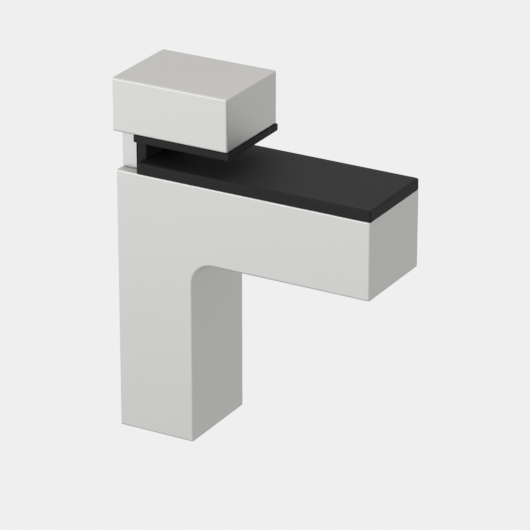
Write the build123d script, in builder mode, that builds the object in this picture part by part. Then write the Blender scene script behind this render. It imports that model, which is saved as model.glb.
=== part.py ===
"""Clamp bracket for a glass or timber shelf.

X runs along the wall, Y into the wall and Z up. The wall is the plane Y = 0, and the
origin lies on it, midway between the two wall screws. The clamp is drawn closed, on its
thinnest shelf. All sizes are millimetres.
"""

import os

from build123d import *

# Lower arm, an inverted L that is cored from the wall side
body_width = 21.0
body_height = 57.9
arm_reach = 58.7
arm_height = 17.1
leg_depth = 17.6
inner_corner_radius = 5.0
casting_edge_radius = 0.45
wall_gap = 0.9
top_wall = 2.5
front_wall = 2.6
floor_height = 10.8
arm_floor = 3.0
arm_end_wall = 4.0
core_side_wall = 3.2
core_corner_radius = 1.6
core_draft = 0.8

# Upper jaw, a block with a wall plate and a threaded boss in one casting
jaw_width = 20.3
jaw_depth = 26.8
jaw_height = 11.6
jaw_edge_radius = 0.45
plate_width = 16.2
plate_thickness = 3.3
plate_tail = 2.5
plate_corner_radius = 1.5
boss_radius = 4.7
boss_height = 8.0
boss_root_radius = 0.8

# Wall screw holes in the plate, countersunk for 4.5 mm screws, and the land round them
wall_hole_radius = 2.4
wall_head_radius = 4.4
wall_hole_spacing = 12.5
wall_land_width = 11.6
wall_land_margin = 5.8
wall_land_radius = 3.0
wall_head_to_boss = 1.15

# Pads of black rubber
arm_pad_thickness = 2.4
arm_pad_edge_radius = 0.5
arm_pad_setback = 1.3
upstand_thickness = 2.0
jaw_pad_thickness = 1.6
jaw_pad_setback = 0.6
jaw_pad_proud = 0.25
jaw_pad_edge_radius = 0.35
peg_radius = 1.5
peg_length = 2.2
peg_end_setback = 5.5

# Clamp screw, M5 with a hexagon socket
screw_radius = 2.5
screw_head_radius = 4.25
screw_head_height = 5.0
screw_head_recess = 3.4
socket_across_flats = 4.0
socket_depth = 2.6
thread_hold = 7.5
screw_tip_chamfer = 0.6

# How the clamp opens, and the fits
shelf_gap = 4.1
clamp_travel = 20.0
travel_margin = 1.5
plate_side_clearance = 0.3
plate_front_clearance = 0.3
boss_front_clearance = 1.2
upstand_clearance = 0.25
thread_clearance = 0.05
shank_clearance = 0.1
head_side_clearance = 0.35
head_seat_clearance = 0.05
peg_clearance = 0.05

# How close an edge or face lies to the plane it is picked by
pick_tolerance = 0.01

# Heights, from the lower wall screw's head up to the shelf's underside and the jaw
boss_top = -wall_hole_spacing / 2 - wall_head_radius - wall_head_to_boss
boss_bottom = boss_top - boss_height
channel_top = boss_top + travel_margin + clamp_travel
arm_top = channel_top + top_wall
arm_bottom = arm_top - arm_height
leg_bottom = arm_top - body_height
channel_floor = leg_bottom + floor_height
shelf_bottom = arm_top + arm_pad_thickness
shelf_top = shelf_bottom + shelf_gap
jaw_bottom = shelf_top + jaw_pad_thickness
plate_bottom = boss_bottom - plate_tail
screw_seat = leg_bottom + screw_head_recess + screw_head_height
screw_tip = boss_bottom + clamp_travel + thread_hold

# Distances from the wall, measured along -Y
leg_front = wall_gap + leg_depth
arm_front = wall_gap + arm_reach
channel_front = leg_front - front_wall
plate_front = wall_gap + plate_thickness
upstand_back = plate_front + plate_front_clearance
arm_pad_back = plate_front + arm_pad_setback
jaw_pad_back = plate_front + jaw_pad_setback
screw_stand_off = channel_front - boss_front_clearance - boss_radius
arm_core_end = arm_front - arm_end_wall
channel_width = plate_width + 2 * plate_side_clearance

# The pads' pegs, near the ends of each pad
arm_peg_places = [(0, -(leg_front + peg_end_setback)), (0, -(arm_core_end - peg_end_setback))]
jaw_peg_places = [(0, -(jaw_pad_back + peg_end_setback)), (0, -(jaw_depth - peg_end_setback))]


# Lower arm: the inverted L with its open channel, the core along the arm and the screw's seat
with BuildPart() as lower_arm:
    with BuildSketch(Plane.YZ) as arm_profile:
        with BuildLine():
            Polyline(
                (-wall_gap, arm_top),
                (-arm_front, arm_top),
                (-arm_front, arm_bottom),
                (-leg_front, arm_bottom),
                (-leg_front, leg_bottom),
                (-wall_gap, leg_bottom),
                close=True,
            )
        make_face()
        inner_corner = arm_profile.vertices().sort_by_distance((-leg_front, arm_bottom))[0]
        fillet(inner_corner, radius=inner_corner_radius)
    extrude(amount=body_width / 2, both=True)

    side_faces = lower_arm.faces().filter_by(Axis.X)
    side_edges = side_faces.edges().filter_by(lambda edge: edge.center().Y < -wall_gap - casting_edge_radius)
    cross_edges = lower_arm.edges().filter_by(Axis.X)
    end_edges = cross_edges.group_by(Axis.Y)[0]
    foot_edge = cross_edges.group_by(Axis.Z)[0].sort_by(Axis.Y)[0]
    fillet(side_edges + end_edges + [foot_edge], radius=casting_edge_radius)

    # Channel for the wall plate and its boss, open to the wall
    with BuildSketch(Plane.XZ.offset(wall_gap)) as channel_mouth:
        with Locations((0, channel_top)):
            Rectangle(channel_width, channel_top - channel_floor, align=(Align.CENTER, Align.MAX))
        fillet(channel_mouth.vertices().group_by(Axis.Y)[0], radius=core_corner_radius)
    extrude(amount=channel_front - wall_gap, mode=Mode.SUBTRACT)

    # Slot in the top wall that the wall plate passes through
    with BuildSketch(Plane.XZ.offset(wall_gap)):
        with Locations((0, channel_top)):
            Rectangle(channel_width, top_wall, align=(Align.CENTER, Align.MIN))
    extrude(amount=upstand_back - wall_gap, mode=Mode.SUBTRACT)

    # Core along the arm, drawn out towards the wall with a draft
    with BuildSketch(Plane.XZ.offset(channel_front)) as arm_core:
        with Locations((0, channel_top)):
            Rectangle(
                body_width - 2 * core_side_wall,
                channel_top - arm_bottom - arm_floor,
                align=(Align.CENTER, Align.MAX),
            )
        fillet(arm_core.vertices(), radius=core_corner_radius)
    extrude(amount=arm_core_end - channel_front, taper=core_draft, mode=Mode.SUBTRACT)

    # Holes for the pad's pegs
    with Locations(Plane.XY.offset(arm_top)):
        with Locations(*arm_peg_places):
            Hole(peg_radius + peg_clearance, depth=top_wall + core_corner_radius)

    # Seat and shank hole of the clamp screw, from below
    with Locations(Plane((0, -screw_stand_off, leg_bottom), z_dir=(0, 0, -1))):
        CounterBoreHole(
            radius=screw_radius + shank_clearance,
            counter_bore_radius=screw_head_radius + head_side_clearance,
            counter_bore_depth=screw_seat + head_seat_clearance - leg_bottom,
            depth=floor_height,
        )
lower_arm.part.label = "lower_arm"


# Upper jaw: block, wall plate and threaded boss in one casting
with BuildPart() as upper_jaw:
    with BuildSketch(Plane.XY.offset(jaw_bottom)):
        Rectangle(jaw_width, jaw_depth, align=(Align.CENTER, Align.MAX))
    extrude(amount=jaw_height)
    block_edges = upper_jaw.edges().filter_by(lambda edge: edge.center().Y < -jaw_edge_radius)
    fillet(block_edges, radius=jaw_edge_radius)

    with BuildSketch(Plane.XZ.offset(wall_gap)) as plate_outline:
        with Locations((0, plate_bottom)):
            Rectangle(plate_width, jaw_bottom + jaw_edge_radius - plate_bottom, align=(Align.CENTER, Align.MIN))
        fillet(plate_outline.vertices().group_by(Axis.Y)[0], radius=plate_corner_radius)
    extrude(amount=plate_thickness)

    # Raised land that the wall screws pull against the wall
    with BuildSketch(Plane.XZ):
        RectangleRounded(
            wall_land_width,
            wall_hole_spacing + 2 * wall_land_margin,
            radius=wall_land_radius,
        )
    extrude(amount=wall_gap)

    # Boss that the clamp screw is threaded into
    with BuildSketch(Plane.XY.offset(boss_bottom)):
        with Locations((0, -screw_stand_off)):
            Circle(boss_radius)
            Rectangle(
                2 * boss_radius,
                screw_stand_off - plate_front + plate_thickness / 2,
                align=(Align.CENTER, Align.MIN),
            )
    extrude(amount=boss_height)
    upright_edges = upper_jaw.edges().filter_by(Axis.Z)
    plate_front_edges = upright_edges.filter_by_position(
        Axis.Y, -plate_front - pick_tolerance, -plate_front + pick_tolerance
    )
    boss_roots = plate_front_edges.filter_by(lambda edge: abs(edge.center().X) < boss_radius + pick_tolerance)
    fillet(boss_roots, radius=boss_root_radius)
    with Locations((0, -screw_stand_off, boss_top)):
        Hole(screw_radius + thread_clearance, depth=boss_height)

    # Countersunk holes for the wall screws
    with Locations(Plane.XZ.offset(plate_front)):
        with GridLocations(0, wall_hole_spacing, 1, 2):
            CounterSinkHole(
                radius=wall_hole_radius,
                counter_sink_radius=wall_head_radius,
                depth=plate_front,
                counter_sink_angle=90,
            )

    # Blind holes for the jaw pad's pegs
    jaw_underside = Plane((0, 0, jaw_bottom), x_dir=(1, 0, 0), z_dir=(0, 0, -1))
    with Locations(jaw_underside):
        with Locations(*[(across, -along) for across, along in jaw_peg_places]):
            Hole(peg_radius + peg_clearance, depth=peg_length + 2 * peg_clearance)
upper_jaw.part.label = "upper_jaw"


# Arm pad: a strip on the arm, with an upstand that covers the wall plate and two pegs
with BuildPart() as arm_pad:
    with BuildSketch(Plane.XY.offset(arm_top)):
        with Locations((0, -arm_pad_back)):
            Rectangle(body_width, arm_front - arm_pad_back, align=(Align.CENTER, Align.MAX))
    extrude(amount=arm_pad_thickness)
    shelf_face = arm_pad.faces().sort_by(Axis.Z)[-1]
    upright_corners = arm_pad.edges().filter_by(Axis.Z)
    fillet(shelf_face.edges() + upright_corners, radius=arm_pad_edge_radius)
    with BuildSketch(Plane.XY.offset(arm_top)):
        with Locations((0, -upstand_back)):
            Rectangle(plate_width, upstand_thickness, align=(Align.CENTER, Align.MAX))
    extrude(amount=shelf_top - upstand_clearance - arm_top)
    with BuildSketch(Plane.XY.offset(arm_top)):
        with Locations(*arm_peg_places):
            Circle(peg_radius)
    extrude(amount=-peg_length)
arm_pad.part.label = "arm_pad"


# Jaw pad: a thin pad under the block with two pegs
with BuildPart() as jaw_pad:
    with BuildSketch(Plane.XY.offset(shelf_top)):
        with Locations((0, -jaw_pad_back)):
            Rectangle(jaw_width, jaw_depth + jaw_pad_proud - jaw_pad_back, align=(Align.CENTER, Align.MAX))
    extrude(amount=jaw_pad_thickness)
    fillet(jaw_pad.faces().sort_by(Axis.Z)[0].edges(), radius=jaw_pad_edge_radius)
    with BuildSketch(Plane.XY.offset(jaw_bottom)):
        with Locations(*jaw_peg_places):
            Circle(peg_radius)
    extrude(amount=peg_length)
jaw_pad.part.label = "jaw_pad"


# Clamp screw: head, shank and hexagon socket on one axis
with BuildPart() as clamp_screw:
    with Locations((0, -screw_stand_off, screw_seat)):
        Cylinder(
            screw_head_radius,
            screw_head_height,
            align=(Align.CENTER, Align.CENTER, Align.MAX),
        )
        Cylinder(
            screw_radius,
            screw_tip - screw_seat,
            align=(Align.CENTER, Align.CENTER, Align.MIN),
        )
    chamfer(clamp_screw.edges().sort_by(Axis.Z)[-1], length=screw_tip_chamfer)
    fillet(clamp_screw.edges().sort_by(Axis.Z)[0], radius=screw_tip_chamfer)
    with BuildSketch(Plane.XY.offset(screw_seat - screw_head_height)):
        with Locations((0, -screw_stand_off)):
            RegularPolygon(socket_across_flats / 2, 6, major_radius=False)
    extrude(amount=socket_depth, mode=Mode.SUBTRACT)
clamp_screw.part.label = "clamp_screw"


os.makedirs("parts", exist_ok=True)
export_step(lower_arm.part, "parts/lower_arm.step")
export_step(upper_jaw.part, "parts/upper_jaw.step")
export_step(arm_pad.part, "parts/arm_pad.step")
export_step(jaw_pad.part, "parts/jaw_pad.step")
export_step(clamp_screw.part, "parts/clamp_screw.step")
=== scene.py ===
"""Looks for a clamp shelf bracket.

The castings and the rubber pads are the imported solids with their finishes. The clamp screw is
modelled here with its thread, its knurled head and its hexagon socket.
"""

import math

import bmesh
import bpy
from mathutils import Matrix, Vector


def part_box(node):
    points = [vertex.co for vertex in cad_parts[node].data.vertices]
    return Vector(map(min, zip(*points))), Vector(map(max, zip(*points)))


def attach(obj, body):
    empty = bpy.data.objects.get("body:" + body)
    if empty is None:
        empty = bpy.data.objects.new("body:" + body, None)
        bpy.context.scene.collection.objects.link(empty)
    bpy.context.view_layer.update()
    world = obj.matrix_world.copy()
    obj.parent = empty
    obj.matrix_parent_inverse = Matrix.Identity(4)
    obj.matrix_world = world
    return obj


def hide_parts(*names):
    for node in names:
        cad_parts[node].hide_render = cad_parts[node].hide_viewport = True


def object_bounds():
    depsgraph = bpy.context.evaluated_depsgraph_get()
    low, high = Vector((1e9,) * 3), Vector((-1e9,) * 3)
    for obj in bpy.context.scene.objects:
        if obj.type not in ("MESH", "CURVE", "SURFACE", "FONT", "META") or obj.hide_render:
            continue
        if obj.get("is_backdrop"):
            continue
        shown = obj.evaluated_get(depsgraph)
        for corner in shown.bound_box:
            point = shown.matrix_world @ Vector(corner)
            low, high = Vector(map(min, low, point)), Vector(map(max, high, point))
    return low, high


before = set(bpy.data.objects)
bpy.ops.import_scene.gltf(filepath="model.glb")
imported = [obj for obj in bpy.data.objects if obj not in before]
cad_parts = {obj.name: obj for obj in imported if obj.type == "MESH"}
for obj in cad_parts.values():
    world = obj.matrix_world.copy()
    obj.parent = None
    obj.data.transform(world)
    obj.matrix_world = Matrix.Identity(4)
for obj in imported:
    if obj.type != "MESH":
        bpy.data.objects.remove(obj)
CAD_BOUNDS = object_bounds()

bl_info = {
    "name": "Clamp Shelf Bracket",
    "version": (1, 0, 0),
    "blender": (4, 5, 0),
    "location": "3D View > Sidebar > Bracket",
    "description": "Finishes, clamp screw and studio for a clamp shelf bracket",
    "category": "Object",
}

MM = 0.001
WHITE = (1.0, 1.0, 1.0, 1.0)

# What the solids give: where the screw sits and how far the casting of the arm reaches
SCREW_LOW, SCREW_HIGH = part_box("clamp_screw")
ARM_LOW, ARM_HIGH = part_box("lower_arm")
HEAD_RADIUS = (SCREW_HIGH.x - SCREW_LOW.x) / 2
SCREW_AXIS = Vector(((SCREW_LOW.x + SCREW_HIGH.x) / 2, (SCREW_LOW.y + SCREW_HIGH.y) / 2, 0))

# Where the two lamps stand, seen from the bracket's middle, with their widths and tints
KEY_PLACE = Vector((-0.75, 0.38, 0.1))
KEY_WIDTH = 1.6
KEY_TINT = (0.97, 0.985, 1.0)
TOP_PLACE = Vector((0.25, 0.0, 0.9))
TOP_WIDTH = 1.2
TOP_TINT = (1.0, 0.985, 0.96)

# The camera's sensor and its clipping distances, and half the width of the floor
SENSOR_MM = 36.0
CLIP_NEAR = 0.01
CLIP_FAR = 50.0
FLOOR_HALF = 6.0

# Steps in one turn of the thread, and cuts in each edge of the shank's rim where the head begins
THREAD_STEPS = 32
RIM_CUTS = 5

# How near two points merge or count as level, and the angle from which an edge stays sharp
MERGE = 0.002 * MM
LEVEL = 0.01 * MM
SHARP = math.radians(28.0)

# Shares of the head's edge and of its lead-in: where the knurl starts, the bend of the edge, the socket's lip
KNURL_START = 1.6
BEND_RISE = 0.3
BEND_INSET = 0.45
SOCKET_LIP = 0.4

# Slow clouds in each finish, in cycles a metre, and how far they change its roughness
SATIN_CLOUD = 60.0
SATIN_CLOUD_ROUGH = 0.05
RUBBER_CLOUD = 90.0
ZINC_CLOUD = 700.0
ZINC_CLOUD_ROUGH = 0.2

# Fine grain: how far it changes the roughness, and the strength and height of its relief
SATIN_GRAIN_ROUGH = 0.08
SATIN_RELIEF = (0.12, 0.02 * MM)
RUBBER_GRAIN_ROUGH = 0.15
RUBBER_RELIEF = (0.25, 0.03 * MM)

# The darkest and the lightest share of each finish's colour
SATIN_SHARES = (0.985, 1.015)
RUBBER_SHARES = (0.85, 1.2)
ZINC_SHARES = (0.85, 1.1)

# How far the cored finish stops below the arm's top
CORE_MARGIN = 0.1 * MM


class Wire:
    """One output socket of a finish, with arithmetic that adds Math nodes."""

    def __init__(self, finish, socket):
        self.finish = finish
        self.socket = socket

    def math(self, operation, *values):
        return self.finish.add("ShaderNodeMath", {"operation": operation}, dict(enumerate(values)))

    def __add__(self, other):
        return self.math("ADD", self, other)

    def __radd__(self, other):
        return self.math("ADD", other, self)

    def __sub__(self, other):
        return self.math("SUBTRACT", self, other)

    def __rsub__(self, other):
        return self.math("SUBTRACT", other, self)

    def __mul__(self, other):
        return self.math("MULTIPLY", self, other)

    def __rmul__(self, other):
        return self.math("MULTIPLY", other, self)

    def __lt__(self, other):
        return self.math("LESS_THAN", self, other)

    def __gt__(self, other):
        return self.math("GREATER_THAN", self, other)

    def __abs__(self):
        return self.math("ABSOLUTE", self)


class Finish:
    """A material or a world made of nodes. add() puts in one node and returns one of its outputs."""

    def __init__(self, owner):
        self.owner = owner
        self.owner.use_nodes = True
        self.tree = self.owner.node_tree
        self.tree.nodes.clear()

    def add(self, kind, settings=None, inputs=None, output=0):
        node = self.tree.nodes.new(kind)
        for key, value in (settings or {}).items():
            setattr(node, key, value)
        for key, value in (inputs or {}).items():
            if isinstance(value, Wire):
                self.tree.links.new(value.socket, node.inputs[key])
            else:
                node.inputs[key].default_value = value
        return Wire(self, node.outputs[output]) if node.outputs else None

    def place(self):
        """The point on the object, in metres."""
        return self.add("ShaderNodeTexCoord", output="Object")

    def split(self, vector):
        """The three parts of a vector."""
        first = self.add("ShaderNodeSeparateXYZ", inputs={"Vector": vector})
        outputs = first.socket.node.outputs
        return [Wire(self, outputs[axis]) for axis in "XYZ"]

    def noise(self, vector, scale, detail=3.0, roughness=0.5):
        return self.add(
            "ShaderNodeTexNoise",
            inputs={"Vector": vector, "Scale": scale, "Detail": detail, "Roughness": roughness},
        )

    def mix(self, factor, low, high):
        """A colour between low and high."""
        return self.add(
            "ShaderNodeMix",
            {"data_type": "RGBA"},
            {"Factor": factor, 6: low, 7: high},
            output=2,
        )

    def bump(self, height, strength, distance):
        return self.add(
            "ShaderNodeBump",
            inputs={"Strength": strength, "Distance": distance, "Height": height},
        )

    def seen_plainly(self):
        """1 on rays that show the backdrop: from the camera, off a glossy surface or through a clear one."""
        path = self.add("ShaderNodeLightPath", output="Is Camera Ray").socket.node.outputs
        camera_ray, glossy_ray, clear_ray = (
            Wire(self, path[name]) for name in ("Is Camera Ray", "Is Glossy Ray", "Is Transmission Ray"))
        return camera_ray + glossy_ray + clear_ray

    def show(self, shader, output="ShaderNodeOutputMaterial"):
        self.add(output, inputs={"Surface": shader})
        return self.owner

    def close(self, **sockets):
        """Ends the finish in one Principled shader and returns the material."""
        inputs = {name.replace("_", " "): value for name, value in sockets.items()}
        return self.show(self.add("ShaderNodeBsdfPrincipled", inputs=inputs))


def shade(colour, share=1.0):
    """A colour for a socket, made lighter or darker by a share."""
    return (*(part * share for part in colour), 1.0)


def clouded(finish, cloud, colour, shares):
    """A colour that drifts between two shares of itself."""
    return finish.mix(cloud, shade(colour, shares[0]), shade(colour, shares[1]))


class CastingLooks(bpy.types.PropertyGroup):
    """Satin plating on the two castings."""

    colour: bpy.props.FloatVectorProperty(
        name="Plating colour",
        description="Colour of the satin plating",
        default=(0.506, 0.5, 0.488),
        min=0,
        max=1,
        subtype="COLOR",
    )
    roughness: bpy.props.FloatProperty(
        name="Roughness",
        description="Roughness of the satin faces",
        default=0.48,
        min=0,
        max=1,
        subtype="FACTOR",
    )
    grain: bpy.props.FloatProperty(
        name="Grain size",
        description="Size of the satin grain",
        default=0.25 * MM,
        unit="LENGTH",
        precision=5,
    )
    core_colour: bpy.props.FloatVectorProperty(
        name="Core colour",
        description="Colour of the thinner plating on the cored inner walls",
        default=(0.435, 0.43, 0.42),
        min=0,
        max=1,
        subtype="COLOR",
    )
    core_roughness: bpy.props.FloatProperty(
        name="Core roughness",
        description="Roughness of the cored inner walls",
        default=0.58,
        min=0,
        max=1,
        subtype="FACTOR",
    )
    channel_width: bpy.props.FloatProperty(
        name="Channel width",
        description="Width of the leg's cored channel",
        default=17.0 * MM,
        unit="LENGTH",
        precision=4,
    )
    channel_depth: bpy.props.FloatProperty(
        name="Channel depth",
        description="Depth of the channel from the bracket's mounting plane",
        default=16.0 * MM,
        unit="LENGTH",
        precision=4,
    )
    foot: bpy.props.FloatProperty(
        name="Foot",
        description="Solid foot below the channel",
        default=10.6 * MM,
        unit="LENGTH",
        precision=4,
    )
    arm_depth: bpy.props.FloatProperty(
        name="Arm depth",
        description="Height of the arm down to its core's floor",
        default=14.3 * MM,
        unit="LENGTH",
        precision=4,
    )
    skin: bpy.props.FloatProperty(
        name="Wall of the arm",
        description="Wall round the arm's core",
        default=2.3 * MM,
        unit="LENGTH",
        precision=4,
    )


class PadLooks(bpy.types.PropertyGroup):
    """Black rubber of the two pads."""

    colour: bpy.props.FloatVectorProperty(
        name="Rubber colour",
        description="Colour of the rubber",
        default=(0.0085, 0.0083, 0.008),
        min=0,
        max=1,
        subtype="COLOR",
    )
    roughness: bpy.props.FloatProperty(
        name="Roughness",
        description="Roughness of the rubber",
        default=0.68,
        min=0,
        max=1,
        subtype="FACTOR",
    )
    shine: bpy.props.FloatProperty(
        name="Shine",
        description="Specular level of the rubber",
        default=0.23,
        min=0,
        max=1,
        subtype="FACTOR",
    )
    grain: bpy.props.FloatProperty(
        name="Grain size",
        description="Size of the rubber's grain",
        default=0.22 * MM,
        unit="LENGTH",
        precision=5,
    )


class ScrewLooks(bpy.types.PropertyGroup):
    """Thread, knurl and socket of the clamp screw."""

    pitch: bpy.props.FloatProperty(
        name="Pitch",
        description="Rise of the thread in one turn",
        default=0.8 * MM,
        unit="LENGTH",
        precision=5,
    )
    radius: bpy.props.FloatProperty(
        name="Thread radius",
        description="Outer radius of the thread",
        default=2.5 * MM,
        unit="LENGTH",
        precision=5,
    )
    depth: bpy.props.FloatProperty(
        name="Thread depth",
        description="Depth of the thread",
        default=0.46 * MM,
        unit="LENGTH",
        precision=5,
    )
    tip_chamfer: bpy.props.FloatProperty(
        name="Tip chamfer",
        description="Chamfer at the screw's tip",
        default=0.7 * MM,
        unit="LENGTH",
        precision=5,
    )
    head_height: bpy.props.FloatProperty(
        name="Head height",
        description="Height of the head",
        default=5.0 * MM,
        unit="LENGTH",
        precision=5,
    )
    head_edge: bpy.props.FloatProperty(
        name="Head edge",
        description="Rounding at the head's socket end",
        default=0.6 * MM,
        unit="LENGTH",
        precision=5,
    )
    lead_in: bpy.props.FloatProperty(
        name="Lead-in",
        description="Small chamfer at the head's top and at the socket's mouth",
        default=0.25 * MM,
        unit="LENGTH",
        precision=5,
    )
    cone: bpy.props.FloatProperty(
        name="Socket cone",
        description="Depth of the drill point below the socket's flats",
        default=0.8 * MM,
        unit="LENGTH",
        precision=5,
    )
    across_flats: bpy.props.FloatProperty(
        name="Socket size",
        description="Width of the socket across its flats",
        default=4.0 * MM,
        unit="LENGTH",
        precision=5,
    )
    socket_depth: bpy.props.FloatProperty(
        name="Socket depth",
        description="Depth of the socket's flats",
        default=2.6 * MM,
        unit="LENGTH",
        precision=5,
    )
    knurls: bpy.props.IntProperty(
        name="Knurls",
        description="Grooves round the head",
        default=48,
        min=12,
    )
    knurl_depth: bpy.props.FloatProperty(
        name="Knurl depth",
        description="Depth of each groove",
        default=0.16 * MM,
        unit="LENGTH",
        precision=5,
    )
    colour: bpy.props.FloatVectorProperty(
        name="Zinc colour",
        description="Colour of the zinc plate",
        default=(0.52, 0.52, 0.52),
        min=0,
        max=1,
        subtype="COLOR",
    )
    roughness: bpy.props.FloatProperty(
        name="Roughness",
        description="Roughness of the zinc plate",
        default=0.3,
        min=0,
        max=1,
        subtype="FACTOR",
    )


class StudioLooks(bpy.types.PropertyGroup):
    """Camera, lamps, floor and backdrop."""

    azimuth: bpy.props.FloatProperty(
        name="Azimuth",
        description="Camera's bearing",
        default=math.radians(-60.5),
        subtype="ANGLE",
    )
    elevation: bpy.props.FloatProperty(
        name="Elevation",
        description="Camera's height angle",
        default=math.radians(23.0),
        subtype="ANGLE",
    )
    distance: bpy.props.FloatProperty(
        name="Distance",
        description="Camera to the bracket's middle",
        default=0.69,
        unit="LENGTH",
    )
    lens: bpy.props.FloatProperty(
        name="Lens",
        description="Focal length of the camera",
        default=228.0,
        unit="CAMERA",
    )
    backdrop: bpy.props.FloatVectorProperty(
        name="Backdrop",
        description="Colour of the pale backdrop",
        default=(0.863, 0.863, 0.863),
        min=0,
        max=1,
        subtype="COLOR",
    )
    room: bpy.props.FloatProperty(
        name="Room light",
        description="Strength of the even light all round",
        default=0.5,
        min=0,
    )
    key: bpy.props.FloatProperty(
        name="Key light",
        description="Power of the lamp at the left",
        default=9.5,
        min=0,
        unit="POWER",
    )
    fill: bpy.props.FloatProperty(
        name="Top light",
        description="Power of the lamp above",
        default=3.0,
        min=0,
        unit="POWER",
    )
    floor_colour: bpy.props.FloatVectorProperty(
        name="Floor colour",
        description="Colour of the floor",
        default=(0.8, 0.8, 0.8),
        min=0,
        max=1,
        subtype="COLOR",
    )
    floor_lift: bpy.props.FloatProperty(
        name="Floor lift",
        description="How far the backdrop shows in the floor below the bracket",
        default=0.65,
        min=0,
        max=1,
        subtype="FACTOR",
    )
    floor_fade: bpy.props.FloatProperty(
        name="Floor fade",
        description="How far away the floor becomes the backdrop",
        default=0.45,
        unit="LENGTH",
    )
    floor_drop: bpy.props.FloatProperty(
        name="Floor drop",
        description="Floor below the bracket's foot",
        default=0.3,
        unit="LENGTH",
    )


def satin_finish(finish, looks, point):
    """Satin plating: its colour, its roughness and its relief."""
    grain = finish.noise(point, 1 / looks.grain, detail=2.0)
    cloud = finish.noise(point, SATIN_CLOUD, detail=2.0)
    colour = clouded(finish, cloud, looks.colour, SATIN_SHARES)
    rough = looks.roughness + (grain - 0.5) * SATIN_GRAIN_ROUGH + (cloud - 0.5) * SATIN_CLOUD_ROUGH
    return colour, rough, finish.bump(grain, *SATIN_RELIEF)


def satin_plate(looks):
    """The satin plating of the jaw, the same all over."""
    finish = Finish(bpy.data.materials.new("satin_plate"))
    colour, rough, relief = satin_finish(finish, looks, finish.place())
    return finish.close(Base_Color=colour, Metallic=1.0, Roughness=rough, Normal=relief)


def satin_cored(looks):
    """Satin plating on the arm's outside, thinner and rougher on the cored walls."""
    finish = Finish(bpy.data.materials.new("satin_cored"))
    point = finish.place()
    colour, rough, relief = satin_finish(finish, looks, point)
    across, along, up = finish.split(point)
    aside = abs(across)
    channel = (aside < looks.channel_width / 2) * (along > -looks.channel_depth)
    channel = channel * (up > ARM_LOW.z + looks.foot) * (up < ARM_HIGH.z - CORE_MARGIN)
    half_core = (ARM_HIGH.x - ARM_LOW.x) / 2 - looks.skin
    arm_core = (aside < half_core) * (along > ARM_LOW.y + looks.skin) * (along < -looks.channel_depth)
    arm_core = arm_core * (up < ARM_HIGH.z - looks.skin) * (up > ARM_HIGH.z - looks.arm_depth)
    cored = channel + arm_core
    return finish.close(
        Base_Color=finish.mix(cored, colour, shade(looks.core_colour)),
        Metallic=1.0,
        Roughness=rough + cored * (looks.core_roughness - looks.roughness),
        Normal=relief,
    )


def black_rubber(looks):
    """Matt black rubber with a fine moulded grain."""
    finish = Finish(bpy.data.materials.new("black_rubber"))
    point = finish.place()
    grain = finish.noise(point, 1 / looks.grain, detail=4.0, roughness=0.6)
    cloud = finish.noise(point, RUBBER_CLOUD, detail=2.0)
    return finish.close(
        Base_Color=clouded(finish, cloud, looks.colour, RUBBER_SHARES),
        Roughness=looks.roughness + (grain - 0.5) * RUBBER_GRAIN_ROUGH,
        Specular_IOR_Level=looks.shine,
        Normal=finish.bump(grain, *RUBBER_RELIEF),
    )


def zinc_plate(looks):
    """Bright zinc plate on steel, a little clouded."""
    finish = Finish(bpy.data.materials.new("zinc_plate"))
    cloud = finish.noise(finish.place(), ZINC_CLOUD)
    return finish.close(
        Base_Color=clouded(finish, cloud, looks.colour, ZINC_SHARES),
        Metallic=1.0,
        Roughness=looks.roughness + (cloud - 0.5) * ZINC_CLOUD_ROUGH,
    )


def dress(node, material):
    """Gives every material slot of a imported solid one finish."""
    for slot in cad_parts[node].material_slots:
        slot.material = material


def rim(mesh, height):
    """The open edges that lie at one height."""
    return [edge for edge in mesh.edges if edge.is_boundary and all(
        abs(vert.co.z - height) < LEVEL for vert in edge.verts)]


def thread(mesh, looks, low, high):
    """A threaded shank round the Z axis, open below, with a chamfered and closed tip."""
    turns = math.ceil((high - low) / looks.pitch) + 2
    root = looks.radius - looks.depth
    flat = looks.pitch / 8
    half = looks.pitch / 2
    start = low - looks.pitch
    outline = [
        (root, 0),
        (root, flat),
        (looks.radius, half - flat / 2),
        (looks.radius, half + flat / 2),
        (root, looks.pitch),
    ]
    points = [mesh.verts.new((out, 0, start + rise)) for out, rise in outline]
    lines = [mesh.edges.new(pair) for pair in zip(points, points[1:])]
    bmesh.ops.spin(
        mesh,
        geom=points + lines,
        cent=(0, 0, 0),
        axis=(0, 0, 1),
        dvec=(0, 0, looks.pitch / THREAD_STEPS),
        angle=math.tau,
        steps=THREAD_STEPS,
        use_merge=False,
    )
    one_turn = mesh.verts[:] + mesh.edges[:] + mesh.faces[:]
    for turn in range(1, turns):
        made = bmesh.ops.duplicate(mesh, geom=one_turn)["geom"]
        risen = [part for part in made if isinstance(part, bmesh.types.BMVert)]
        bmesh.ops.translate(mesh, vec=(0, 0, turn * looks.pitch), verts=risen)
    bmesh.ops.remove_doubles(mesh, verts=mesh.verts, dist=MERGE)
    for height, way in ((low, -1), (high, 1)):
        bmesh.ops.bisect_plane(
            mesh,
            geom=mesh.verts[:] + mesh.edges[:] + mesh.faces[:],
            plane_co=(0, 0, height),
            plane_no=(0, 0, way),
            clear_outer=True,
        )
    for vert in mesh.verts:
        most = looks.radius - max(0.0, vert.co.z - high + looks.tip_chamfer)
        vert.co.xy = vert.co.xy.normalized() * min(most, vert.co.xy.length)
    bmesh.ops.remove_doubles(mesh, verts=mesh.verts, dist=MERGE)
    bmesh.ops.holes_fill(mesh, edges=rim(mesh, high), sides=0)


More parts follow.
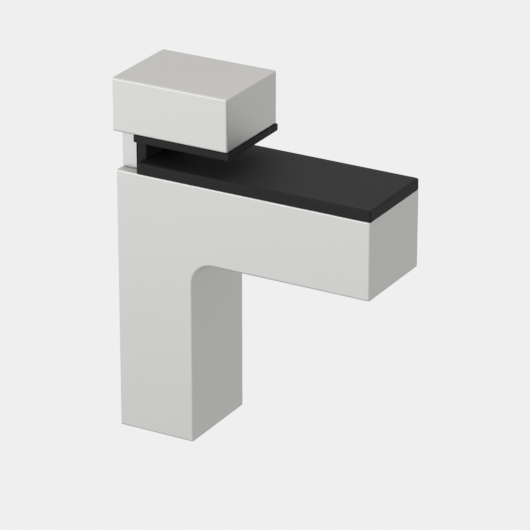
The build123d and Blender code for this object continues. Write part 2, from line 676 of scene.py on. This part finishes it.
def screw_head(mesh, looks, bottom):
    """A knurled head under the open lower end of the thread, with a hexagon socket in its bottom."""
    top = bottom + looks.head_height
    socket_floor = bottom + looks.socket_depth
    half_flat = looks.across_flats / 2
    corner = half_flat / math.cos(math.pi / 6)
    knurl_centre = HEAD_RADIUS - looks.knurl_depth / 2

    def knurled(angle):
        return HEAD_RADIUS - looks.knurl_depth * (1 + math.cos(looks.knurls * angle)) / 2

    def hexagon(angle):
        return half_flat / math.cos(angle % (math.pi / 3) - math.pi / 6)

    outline = [
        (top, HEAD_RADIUS - looks.lead_in),
        (top - looks.lead_in, knurled),
        (bottom + looks.head_edge * KNURL_START, knurled),
        (bottom + looks.head_edge, knurl_centre),
        (bottom + looks.head_edge * BEND_RISE, HEAD_RADIUS - looks.head_edge * BEND_INSET),
        (bottom, HEAD_RADIUS - looks.head_edge),
        (bottom, corner + looks.lead_in * SOCKET_LIP),
        (bottom + looks.lead_in, hexagon),
        (socket_floor, hexagon),
        (socket_floor + looks.lead_in / 2, half_flat - looks.lead_in),
        (socket_floor + looks.cone, looks.lead_in),
    ]
    shank = rim(mesh, top)
    step = math.tau / (len(shank) * (RIM_CUTS + 1))
    bmesh.ops.subdivide_edges(mesh, edges=shank, cuts=RIM_CUTS)
    edges = rim(mesh, top)
    for height, radius in outline:
        made = bmesh.ops.extrude_edge_only(mesh, edges=edges)["geom"]
        edges = [part for part in made if isinstance(part, bmesh.types.BMEdge) and part.is_boundary]
        for vert in {vert for edge in edges for vert in edge.verts}:
            angle = round(math.atan2(vert.co.y, vert.co.x) / step) * step
            out = radius(angle) if callable(radius) else radius
            vert.co = (math.cos(angle) * out, math.sin(angle) * out, height)
    bmesh.ops.holes_fill(mesh, edges=edges, sides=0)


def piece_from(mesh, name, material, at):
    """Turns a bmesh into a piece, with its place in its mesh."""
    bmesh.ops.recalc_face_normals(mesh, faces=mesh.faces)
    bmesh.ops.translate(mesh, vec=at, verts=mesh.verts)
    data = bpy.data.meshes.new(name)
    mesh.to_mesh(data)
    mesh.free()
    data.shade_smooth()
    data.set_sharp_from_angle(angle=SHARP)
    data.materials.append(material)
    piece = bpy.data.objects.new(name, data)
    bpy.context.scene.collection.objects.link(piece)
    return piece


class BRACKET_OT_castings(bpy.types.Operator):
    """Give the lower arm and the upper jaw their satin plating"""

    bl_idname = "bracket.castings"
    bl_label = "Plate the Castings"

    def execute(self, context):
        looks = context.scene.bracket_casting
        dress("lower_arm", satin_cored(looks))
        dress("upper_jaw", satin_plate(looks))
        return {"FINISHED"}


class BRACKET_OT_pads(bpy.types.Operator):
    """Give the arm pad and the jaw pad their black rubber"""

    bl_idname = "bracket.pads"
    bl_label = "Finish the Pads"

    def execute(self, context):
        material = black_rubber(context.scene.bracket_pad)
        dress("arm_pad", material)
        dress("jaw_pad", material)
        return {"FINISHED"}


class BRACKET_OT_clamp_screw(bpy.types.Operator):
    """Model the clamp screw with its thread, knurled head and hexagon socket"""

    bl_idname = "bracket.clamp_screw"
    bl_label = "Make the Clamp Screw"

    def execute(self, context):
        looks = context.scene.bracket_screw
        mesh = bmesh.new()
        thread(mesh, looks, SCREW_LOW.z + looks.head_height, SCREW_HIGH.z)
        screw_head(mesh, looks, SCREW_LOW.z)
        piece = piece_from(mesh, "threaded_screw", zinc_plate(looks), SCREW_AXIS)
        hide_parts("clamp_screw")
        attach(piece, "screw")
        return {"FINISHED"}


class BRACKET_OT_studio(bpy.types.Operator):
    """Set up the floor, the backdrop, the lamps and the camera"""

    bl_idname = "bracket.studio"
    bl_label = "Set Up the Studio"

    def execute(self, context):
        looks = context.scene.bracket_studio
        middle = (Vector(CAD_BOUNDS[0]) + Vector(CAD_BOUNDS[1])) / 2
        floor(looks)
        room(context.scene, looks)
        level = math.cos(looks.elevation)
        back = Vector((
            math.sin(looks.azimuth) * level,
            -math.cos(looks.azimuth) * level,
            math.sin(looks.elevation),
        ))
        lamp("key_lamp", middle + KEY_PLACE, middle, KEY_WIDTH, looks.key, KEY_TINT)
        lamp("top_lamp", middle + TOP_PLACE, middle, TOP_WIDTH, looks.fill, TOP_TINT)
        camera(context.scene, looks, middle, back)
        return {"FINISHED"}


def lamp(name, place, target, width, power, tint):
    """A square soft lamp that faces the target."""
    data = bpy.data.lights.new(name, "AREA")
    data.shape = "SQUARE"
    data.size = width
    data.energy = power
    data.color = tint
    light = bpy.data.objects.new(name, data)
    light.location = place
    light.rotation_euler = (target - place).to_track_quat("-Z", "Y").to_euler()
    bpy.context.scene.collection.objects.link(light)


def camera(scene, looks, target, back):
    """A camera at the photograph's angle, aimed at the bracket's middle."""
    data = bpy.data.cameras.new("camera")
    data.lens = looks.lens
    data.sensor_width = SENSOR_MM
    data.clip_start = CLIP_NEAR
    data.clip_end = CLIP_FAR
    eye = bpy.data.objects.new("camera", data)
    eye.location = target + back * looks.distance
    eye.rotation_euler = (-back).to_track_quat("-Z", "Y").to_euler()
    scene.collection.objects.link(eye)
    scene.camera = eye


def floor(looks):
    """A wide pale floor that turns into the backdrop as it runs away from the bracket."""
    finish = Finish(bpy.data.materials.new("pale_floor"))
    lit = finish.add("ShaderNodeBsdfDiffuse", inputs={"Color": shade(looks.floor_colour)})
    backdrop = finish.add("ShaderNodeEmission", inputs={"Color": shade(looks.backdrop)})
    away = finish.add("ShaderNodeVectorMath", {"operation": "LENGTH"}, {0: finish.place()}, output="Value")
    fade = finish.add("ShaderNodeMath", {"operation": "MINIMUM"}, {0: away * (1 / looks.floor_fade), 1: 1.0})
    lift = looks.floor_lift + fade * (1 - looks.floor_lift)
    lifted = finish.add("ShaderNodeMixShader", inputs={0: finish.seen_plainly() * lift, 1: lit, 2: backdrop})
    clear = finish.add("ShaderNodeBsdfTransparent")
    under = finish.add("ShaderNodeNewGeometry", output="Backfacing")
    mesh = bmesh.new()
    bmesh.ops.create_grid(mesh, x_segments=1, y_segments=1, size=FLOOR_HALF)
    bmesh.ops.translate(mesh, vec=(0, 0, CAD_BOUNDS[0][2] - looks.floor_drop), verts=mesh.verts)
    data = bpy.data.meshes.new("floor")
    mesh.to_mesh(data)
    mesh.free()
    shader = finish.add("ShaderNodeMixShader", inputs={0: under, 1: lifted, 2: clear})
    data.materials.append(finish.show(shader))
    piece = bpy.data.objects.new("floor", data)
    bpy.context.scene.collection.objects.link(piece)
    piece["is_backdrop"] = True


def room(scene, looks):
    """Even light all round, which the camera and the metal see as the pale backdrop."""
    finish = Finish(bpy.data.worlds.new("room"))
    light = finish.add("ShaderNodeBackground", inputs={"Color": WHITE, "Strength": looks.room})
    backdrop = finish.add("ShaderNodeBackground", inputs={"Color": shade(looks.backdrop)})
    mixed = finish.add("ShaderNodeMixShader", inputs={0: finish.seen_plainly(), 1: light, 2: backdrop})
    scene.world = finish.show(mixed, "ShaderNodeOutputWorld")


class BRACKET_PT_sidebar(bpy.types.Panel):
    """Steps that finish the bracket"""

    bl_idname = "BRACKET_PT_sidebar"
    bl_label = "Clamp Shelf Bracket"
    bl_space_type = "VIEW_3D"
    bl_region_type = "UI"
    bl_category = "Bracket"

    def draw(self, context):
        for step in STEPS:
            self.layout.operator(step.bl_idname)


STEPS = (BRACKET_OT_castings, BRACKET_OT_pads, BRACKET_OT_clamp_screw, BRACKET_OT_studio)
GROUPS = {
    "bracket_casting": CastingLooks,
    "bracket_pad": PadLooks,
    "bracket_screw": ScrewLooks,
    "bracket_studio": StudioLooks,
}


def register():
    for name, group in GROUPS.items():
        bpy.utils.register_class(group)
        setattr(bpy.types.Scene, name, bpy.props.PointerProperty(type=group))
    for step in STEPS:
        bpy.utils.register_class(step)
    bpy.utils.register_class(BRACKET_PT_sidebar)


def unregister():
    bpy.utils.unregister_class(BRACKET_PT_sidebar)
    for step in reversed(STEPS):
        bpy.utils.unregister_class(step)
    for name, group in GROUPS.items():
        delattr(bpy.types.Scene, name)
        bpy.utils.unregister_class(group)


def main():
    register()
    bpy.context.scene.view_settings.view_transform = "Standard"
    bpy.ops.bracket.castings()
    bpy.ops.bracket.pads()
    bpy.ops.bracket.clamp_screw()
    bpy.ops.bracket.studio()
    sizes = {"cad": CAD_BOUNDS, "visual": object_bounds()}
    sizes = {name: [list(corner) for corner in box] for name, box in sizes.items()}


if __name__ == "__main__":
    main()
